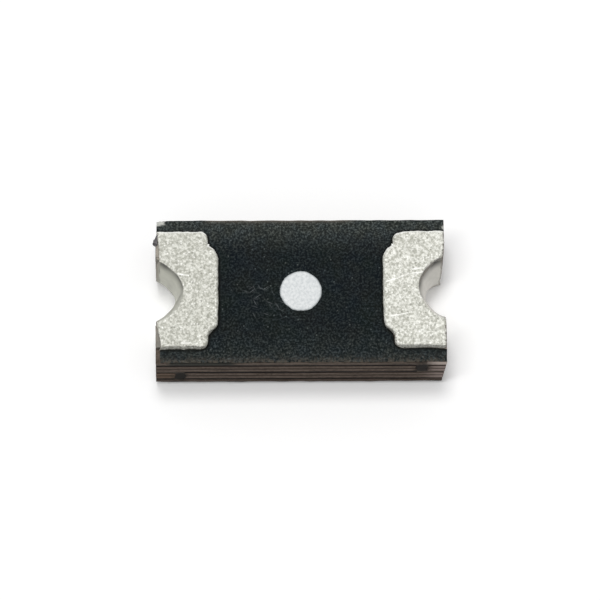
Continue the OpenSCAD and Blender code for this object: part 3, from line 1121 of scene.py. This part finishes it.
def notch_wall(side, up):
    """Skin of the right notch's wall from the rim to mid-height: half a waisted tube.

    A quarter round at the rim leads into the swell's arc, which is pinched to a thicker skin towards the land
    and has a groove under the rim. Gives points, outward directions, share of the wall, groove, and share of
    the thickest skin."""
    turn = notch_turns()
    pinch, rim_r, groove = notch_shape(side, up, turn)
    sine, cosine = rounding(ROUND_STEPS)
    depth = np.linspace(0, 1, WALL_STEPS + 1)[1:] ** WALL_SPREAD
    levels = HEIGHT - np.concatenate([rim_r * (1 - cosine), rim_r + (HEIGHT / 2 - rim_r) * depth], 1)
    groove_half = LEFT_GROOVE_HALF if side < 0 else RIGHT_GROOVE_HALF
    # The hollow also carries the tin's painted shade in the groove.
    hollow = groove * np.exp(-((HEIGHT - GROOVE_DROP - levels) / groove_half) ** 2)
    swell, slope = notch_swell(levels)
    radii = FINISHED_R - pinch - swell * (1 - pinch / SWELL) + GROOVE_DEPTH * hollow
    radii[:, :ROUND_STEPS + 1] += rim_r * (1 - sine)
    plan, angles = notch_ring(turn, radii)
    wall = np.concatenate([plan, levels[..., None]], -1)
    tilt = np.arctan(-slope[:, ROUND_STEPS + 1:])
    leans = np.concatenate([np.broadcast_to(sine, (NOTCH_ROWS, len(sine))), np.cos(tilt)], 1)
    rises = np.concatenate([np.broadcast_to(cosine, (NOTCH_ROWS, len(sine))), np.sin(tilt)], 1)
    out = np.stack([np.cos(angles) * leans, -np.sin(angles) * leans, rises], -1)
    share = np.broadcast_to(np.r_[s_curve(0.0, 0.45, sine), np.ones(WALL_STEPS)], angles.shape)
    thick = TIN_T + share * pinch * (1 - swell / SWELL)
    return wall, out, share, hollow, thick / THICKEST


def land_patches(columns, side, up):
    """Skin of an upper land at the right: grids for its flat top, its sides and half the notch wall.

    The flat top is ruled between the inner edge and the end. The sides carry a profile along the border, a
    quarter round that turns into a slope where it faces the front. Each grid comes with the same values as
    the notch wall."""
    turn = notch_turns()
    pinch, rim_r, _ = notch_shape(side, up, turn)
    ring = notch_ring(turn, FINISHED_R - pinch + rim_r)[0][:, 0]
    corner_y = LAND_HALF_W - EDGE_R
    back_end = np.linspace([HALF_L, corner_y], ring[0], END_ROWS + 1)[:-1]
    front_end = np.linspace(ring[-1], [HALF_L, -corner_y], END_ROWS + 1)[1:]
    inner = land_edge(EDGE_R, LAND_ROWS)
    outer = np.concatenate([back_end, ring, front_end])
    u = np.linspace(0, 1, columns)[None, :, None]
    plan = inner[:, None] * (1 - u) + outer[:, None] * u
    top = np.concatenate([plan, np.full(plan.shape[:2] + (1,), HEIGHT)], -1)
    top_out = np.broadcast_to([0.0, 0.0, 1.0], top.shape)

    border = np.concatenate([plan[0, :0:-1], plan[:, 0], plan[-1, 1:]])
    normal = outward(border, False)
    full, sloped = side_profiles()
    front = s_curve(0.7, 0.95, -normal[:, 1])
    reach, fall, lean, rise = full[..., None] * (1 - front) + sloped[..., None] * front
    flank = np.concatenate([border[None] + normal[None] * reach[..., None], HEIGHT - fall[..., None]], -1)
    flank_out = np.concatenate([normal[None] * lean[..., None], rise[..., None]], -1)

    patches = []
    for grid, out in ((top, top_out), (flank, flank_out)):
        none = np.zeros(grid.shape[:2])
        patches.append((grid, out, none, none, none + TIN_T / THICKEST))
    return patches + [notch_wall(side, up)]


SCRATCHES = [
    ([1.186, 0.176], [1.382, 0.203]),
    ([1.209, 0.230], [1.354, 0.246]),
    ([0.940, 0.091], [1.130, 0.160]),
    ([0.990, -0.306], [1.168, -0.272]),
    ([-1.376, 0.188], [-1.240, 0.165]),
]
SCRATCH_W = 0.012
SCRAPE_CENTRE = np.array([-1.27, -0.622])
SCRAPE_HALF = np.array([0.05, 0.022])


def scratch_depth(points):
    """1 on a scratch line, falling to 0 at its width."""
    depth = np.zeros(points.shape[:-1])
    for start, end in np.array(SCRATCHES):
        along = end - start
        t = np.clip((points[..., :2] - start) @ along / (along @ along), 0, 1)
        off = np.linalg.norm(points[..., :2] - start - t[..., None] * along, axis=-1)
        off += 0.006 * lattice_noise(points, 0.03, 55)
        depth = np.maximum(depth, 1 - s_curve(0.2 * SCRATCH_W, SCRATCH_W, off))
    return depth


def scraped(points):
    """1 inside a small ellipse on the left land that is rubbed smooth, 0 outside."""
    off = np.linalg.norm((points[..., :2] - SCRAPE_CENTRE) / SCRAPE_HALF, axis=-1)
    return 1 - s_curve(0.7, 1.1, off + 0.25 * lattice_noise(points, 0.03, 56))


LEFT_BACK_WEAR = 0.022
LEFT_MOUTH_WEAR = 0.014
LEFT_BACK_WEAR_Y = (0.42, 0.60)
LEFT_FRONT_WEAR = 0.008
LEFT_CORNER_WEAR = 0.046
LEFT_CORNER_WEAR_Y = (0.36, 0.62)
LEFT_JAGGED = 0.005
RIGHT_WEAR = 0.009
RIGHT_JAGGED = 0.009


def worn_end(points, side):
    """How far the skin draws back from a sawn end: jagged at the right, most at the front of the left."""
    y = points[..., 1]
    jagged = layered_noise(points, (1, (0.2, 0.03, 0.2), 91), (0.6, (0.2, 0.014, 0.2), 92))
    if side < 0:
        back = LEFT_BACK_WEAR + LEFT_MOUTH_WEAR * (1 - s_curve(*LEFT_BACK_WEAR_Y, y))
        front = LEFT_FRONT_WEAR + LEFT_CORNER_WEAR * s_curve(*LEFT_CORNER_WEAR_Y, -y)
        return np.where(y > 0, back, front) + LEFT_JAGGED * jagged
    return np.clip(RIGHT_WEAR + right_inset(y) + RIGHT_JAGGED * jagged, 0, None)


END_FADE = 0.08
LEFT_LIP = 0.034
RIGHT_LIP = 0.010
LIP_LINE = 0.006
LIP_DARK = 0.75
BUMP_PLACE = np.array([-1.29, -0.68])
BUMP_SIZE = 0.025
BUMP_REACH = 0.014
UNDER_LIFT = 0.009
UNDER_FADE = 0.1
TIN_RELIEF = ((0.0030, 0.05, 21), (0.0026, 0.024, 22), (0.004, 0.3, 23))
SMOOTHED = 0.85
SCRATCH_DEPTH = 0.002
END_DROP = 0.010
END_DROP_FADE = 0.012
SAWN_FADE = 0.008


def tin_marks(patch, wall, up):
    """Scratches of a patch, and how smooth it is: its notch wall, and the scraped place on an upper land."""
    broken = np.clip(0.85 + 0.5 * lattice_noise(patch, 0.035, 57), 0, 1)
    mark = scratch_depth(patch) * broken * (up > 0) * (1 - wall)
    return mark, np.maximum(wall, scraped(patch) * (up > 0))


def notch_lip(patch, wall, from_end, side):
    """Sawn lip of the plating at a notch's mouth, and the uneven dark line along it."""
    lip_w = LEFT_LIP if side < 0 else RIGHT_LIP
    lip = wall * (1 - s_curve(lip_w - LIP_LINE, lip_w, from_end))
    uneven = np.clip(0.7 + 0.8 * lattice_noise(patch, 0.09, 96), 0, 1)
    line = LIP_DARK * uneven * wall * np.exp(-((from_end - lip_w - LIP_LINE) / LIP_LINE) ** 2)
    return lip, line


def worn_tin(patch, relief, from_end, side, up):
    """Patch moved by its relief: worn in and down along the sawn end, lifted underneath, with one bump."""
    level = s_curve(0.3 * HEIGHT, 0.5 * HEIGHT, np.abs(patch[..., 2] - HEIGHT / 2))
    moved = wander(patch) + relief
    drawn = worn_end(patch, side) * np.exp(-from_end / END_FADE)
    moved[..., 0] -= side * drawn * (level if side < 0 else 1)
    moved[..., 2] -= up * END_DROP * np.exp(-from_end / END_DROP_FADE) * level
    moved[..., 2] += UNDER_LIFT * (1 - s_curve(0, UNDER_FADE, patch[..., 2]))
    bump = np.exp(-np.sum(((patch[..., :2] - BUMP_PLACE) / BUMP_SIZE) ** 2, -1)) * (up > 0)
    moved[..., 1] -= BUMP_REACH * bump
    return moved


def tin_skin(name, side, node, material):
    """Both lands and the notch wall of one end as a single skin of tin with grains, scratches and wear."""
    points = []
    values = {"scratch": [], "wall": [], "groove": [], "sawn": [], "back_edge_highlight": [], "thick": []}
    for up, columns in ((1, TOP_COLUMNS), (-1, UNDER_COLUMNS)):
        for grids in land_patches(columns, side, up):
            if side * up < 0:
                grids = [np.swapaxes(grid, 0, 1) for grid in grids]
            patch, out, wall, groove, thick = grids
            patch = patch * [side, 1, up] + [0, 0, 0 if up > 0 else HEIGHT]
            out = out * [side, 1, up]
            from_end = np.clip(HALF_L - np.abs(patch[..., 0]), 0, None)
            mark, smooth = tin_marks(patch, wall, up)
            relief = layered_noise(patch, *TIN_RELIEF) * (1 - SMOOTHED * smooth) - SCRATCH_DEPTH * mark
            points.append(worn_tin(patch, out * relief[..., None], from_end, side, up))
            lip, line = notch_lip(patch, wall, from_end, side)
            patchy = np.clip(0.9 + 0.5 * lattice_noise(patch * [1, 1, 0], 0.10, 95), 0, 1)
            values["scratch"].append(np.maximum(mark, 0.45 * smooth * (1 - wall)))
            values["wall"].append(wall)
            # Painted shade in the groove, joined by the lip's dark line.
            values["groove"].append(np.maximum(groove * patchy * (1 - lip), line))
            values["sawn"].append(0.7 * np.maximum(lip, np.exp(-from_end / SAWN_FADE)))
            # Painted highlight: share of the upper land that faces the back.
            values["back_edge_highlight"].append(s_curve(0.15, 0.5, out[..., 1]) * (1 - wall) * (up > 0))
            values["thick"].append(thick)
    piece = from_patches(name, points, values)
    thicken(piece, THICKEST, "thick")
    dress(piece, material, "tin", node)


PLATING_TURNS = 73
PLATING_ROWS = 41
PLATING_INSET = 0.004
BURR_BACK = 0.634
BURR_LENGTH = 0.108
BURR_REACH = 0.022
BURR_ROOT = 0.02
BURR_DROP = 0.012
BURR_CURL = 0.03
BURR_T = 0.012


def add_burr():
    """Torn sliver at the left end: a leaf that reaches out by a lopsided arch along Y and curls down."""
    v = np.linspace(0, 1, 25)[:, None]
    u = np.linspace(0, 1, 9)[None]
    arch = np.clip(np.sin(math.pi * v ** 2.2), 0, 1) ** 0.4 * (1 + 0.10 * np.sin(17 * v))
    x = -HALF_L + BURR_ROOT - (BURR_REACH + BURR_ROOT) * u * arch
    y = BURR_BACK - BURR_LENGTH * v + 0 * u
    z = HEIGHT - BURR_DROP - BURR_CURL * u ** 2 + 0.006 * np.sin(9 * v + 2 * u)
    piece = from_patches("left_burr", [np.stack([x, y, z], -1)], {})
    thicken(piece, BURR_T)
    dress(piece, burr_material(), "tin")


def add_pads(copper):
    """Copper of each land, a tin's thickness inside it: a slab between the inner edge and the sawn end."""
    inner = land_edge(TIN_T, LAND_ROWS)[::-1]
    end = end_curve(PLATING_INSET, NOTCH_R, LAND_HALF_W - TIN_T)
    for seed, level in enumerate(("top", "bottom")):
        for name, left, right in (("left", mirrored(end), mirrored(inner)), ("right", inner, end)):
            node = f"{name}_{level}_pad"
            piece = layer_slab(node, left, right, 0.0, 200 + 10 * seed, etched=True)
            piece.name = node + ".etched"
            dress(piece, copper, "copper", node)


def add_platings(copper):
    """Copper of the notch walls: a waisted half tube under the tin, a grid of turns and heights."""
    turn = np.linspace(1, -1, PLATING_TURNS)[:, None]
    for name, side in (("left_wall_plating", -1), ("right_wall_plating", 1)):
        low, high = (corner[2] for corner in node_box(name))
        z = np.linspace(high, low, PLATING_ROWS)[None]
        radius = NOTCH_R - WALL_COPPER_T - notch_swell(z)[0]
        angle = turn * np.arccos((NOTCH_OUT + PLATING_INSET) / radius)
        plan = [side * (NOTCH_CENTRE[0] - radius * np.cos(angle)), radius * np.sin(angle)]
        points = fit_corners(np.stack([*plan, z + 0 * angle], -1))
        piece = from_patches(name + ".plated", [points if side > 0 else np.swapaxes(points, 0, 1)], {})
        thicken(piece, WALL_COPPER_T)
        dress(piece, copper, "copper", name)


def add_terminals():
    """Tin skins of both ends, and the copper under them."""
    tin, copper = tin_material(), copper_material()
    tin_skin("left_tin", -1, "left_tin_finish", tin)
    tin_skin("right_tin", 1, "right_tin_finish", tin)
    add_burr()
    add_pads(copper)
    add_platings(copper)


# Solder mask

MASK_ROWS = 170
MASK_COLUMNS = 200
ARM_COLUMNS = 36
STRIP_ROWS = 15


def mask_patches():
    """Upper mask as three ruled grids: between the land edges, and from there to the back and front edge."""
    right = land_edge(-MASK_CLEARANCE, MASK_ROWS)
    left = mirrored(right)
    u = np.linspace(0, 1, MASK_COLUMNS)[None, :, None]
    middle = left[:, None] * (1 - u) + right[:, None] * u
    strips = []
    for row, edge in ((middle[0], HALF_W), (middle[-1], -HALF_W)):
        seam_y = row[0, 1]
        left_arm = np.linspace([-HALF_L, seam_y], row[0], ARM_COLUMNS)[:-1]
        right_arm = np.linspace(row[-1], [HALF_L, seam_y], ARM_COLUMNS)[1:]
        seam = np.concatenate([left_arm, row, right_arm])
        rim = np.stack([seam[:, 0], np.full(len(seam), edge)], -1)
        t = (1 - np.cos(np.linspace(0, math.pi, STRIP_ROWS))) / 2
        strip = rim[None] + (seam - rim)[None] * t[:, None, None]
        strips.append(strip if edge > 0 else strip[::-1])
    return [strips[0], middle, strips[1]]


MASK_RELIEF = ((0.0015, 0.16, 41), (0.0008, 0.04, 42))
MASK_EDGE_DROP = 0.006
MASK_EDGE_FADE = 0.008
RAGGED = 0.005
BARE_STRIP = 0.046
EDGE_FADE = 0.08
LAND_SHADE_W = 0.042
FRAY_FADE = 0.035
BACK_RIM = 0.016
NICK_PLACE = np.array([1.59, 0.735])
NICK_HALF = np.array([0.024, 0.026])


def edge_wear(points, front):
    """Draws the mask back from the sawn edges: ragged by a reach at the front, and bare at the front left."""
    x, y = points[..., 0], points[..., 1]
    ragged = 0.7 + layered_noise(points, (1, 0.06, 43), (0.6, 0.022, 44))
    bare = s_curve(0.45, 0.70, -y) * (1 + 0.15 * lattice_noise(points, 0.04, 45))
    moved = points.copy()
    moved[..., 1] += front * np.clip(ragged, 0, None) * np.exp(-(y + HALF_W) / EDGE_FADE)
    moved[..., 0] += BARE_STRIP * bare * np.exp(-(x + HALF_L) / EDGE_FADE)
    return moved


def land_distance(points):
    """Distance in plan to the nearest point of either land's edge."""
    edge = land_edge(0, MASK_ROWS)
    run = np.linspace([HALF_L, LAND_HALF_W], edge[0], ARM_COLUMNS)
    edge = np.concatenate([run, edge, run * [1, -1]])
    plan = np.stack([np.abs(points[..., 0]), points[..., 1]], -1)
    nearest = np.full(plan.shape[:2], np.inf)
    for point in edge:
        nearest = np.minimum(nearest, np.hypot(*np.moveaxis(plan - point, -1, 0)))
    return nearest


def mask_skin(name, up, node, material):
    """Mask of one side as a skin: faint swell and pimples, worn edges, and the broken corner left out."""
    patches = []
    values = {"land_shade": [], "frayed": [], "rim": [], "fresh": []}
    for plan in mask_patches():
        flat = np.full(plan.shape[:2] + (1,), MASK_TOP)
        points = wander(np.concatenate([plan, flat], -1))
        off = np.minimum(HALF_L - np.abs(plan[..., 0]), HALF_W - np.abs(plan[..., 1]))
        drop = MASK_EDGE_DROP * np.exp(-np.clip(off, 0, None) / MASK_EDGE_FADE)
        points[..., 2] += layered_noise(points, *MASK_RELIEF) - drop
        points = edge_wear(points, RAGGED * (up > 0))
        # Share of painted shade, highest at the lands' edges.
        shade_near_land = 1 - s_curve(0, LAND_SHADE_W, land_distance(plan))
        worn = np.exp(-(plan[..., 1] + HALF_W) / FRAY_FADE)
        back = np.exp(-(HALF_W - plan[..., 1]) / BACK_RIM)
        pale = np.zeros(worn.shape)
        if up > 0:
            points, broken = fit_chip(fit_corners(points), MASK_TOP)
            nick = np.linalg.norm((points[..., :2] - NICK_PLACE) / NICK_HALF, axis=-1)
            pale = np.maximum(broken, 1 - s_curve(0.6, 1.1, nick))
        else:
            points = fit_corners(points * [1, 1, -1] + [0, 0, HEIGHT])
            grids = (points, shade_near_land, worn, back, pale)
            points, shade_near_land, worn, back, pale = (np.swapaxes(grid, 0, 1) for grid in grids)
        patches.append(points)
        values["land_shade"].append(shade_near_land)
        values["frayed"].append(worn)
        values["rim"].append(back)
        values["fresh"].append(pale)
    piece = from_patches(name, patches, values)
    thicken(piece, MASK_T)
    dress(piece, material, "solder_mask", node)


def add_masks():
    """Mask on the upper and the lower side."""
    material = mask_material()
    mask_skin("top_mask", 1, "top_solder_mask", material)
    mask_skin("bottom_mask", -1, "bottom_solder_mask", material)


# Marking

INK_TURNS = 193
INK_T = 0.002
INK_SCALLOP = ((0.020, 0.05, 62), (0.010, 0.022, 63))
INK_RIPPLE = 0.0016
INK_RIPPLE_CELL = 0.05


def add_ink():
    """Printed dot: rings round a centre, a low dome with a soft rim, its edge scalloped by the print."""
    angle = np.linspace(0, 2 * math.pi, INK_TURNS)[None]
    share = np.r_[np.linspace(0, 0.9, 20), 0.93, 0.96, 0.985, 1.0][:, None]
    centre = (INK_LOW + INK_HIGH) / 2
    radius = (INK_HIGH[0] - INK_LOW[0]) / 2
    ring = radius * np.stack([np.cos(angle), np.sin(angle), 0 * angle], -1)
    reach = share * radius * (1 + layered_noise(ring, *INK_SCALLOP))
    height = (INK_HIGH[2] - INK_LOW[2]) * np.sqrt(np.clip(1 - share ** 10, 0, 1))
    points = np.stack([
        centre[0] + reach * np.cos(angle),
        centre[1] + reach * np.sin(angle),
        INK_LOW[2] + height + 0 * angle,
    ], -1)
    ripple = lattice_noise(points * [1, 1, 0], INK_RIPPLE_CELL, 61)
    points[..., 2] += INK_RIPPLE * ripple * (1 - share ** 6)
    thin = s_curve(0.9, 1.0, share) + 0 * angle
    piece = from_patches("ink_mark", [points], {"thin": [thin]})
    thicken(piece, INK_T)
    dress(piece, ink_material(), "ink", "ink_dot")


add_camera()
set_world()
add_floor()
add_lamp("back_box", tilt_back=12, tilt_left=3, distance=160, width=50, length=42, energy=0.083)
add_lamp("left_box", tilt_back=-5, tilt_left=12, distance=160, width=32, length=92, energy=0.075)
add_laminate()
add_terminals()
add_masks()
add_ink()
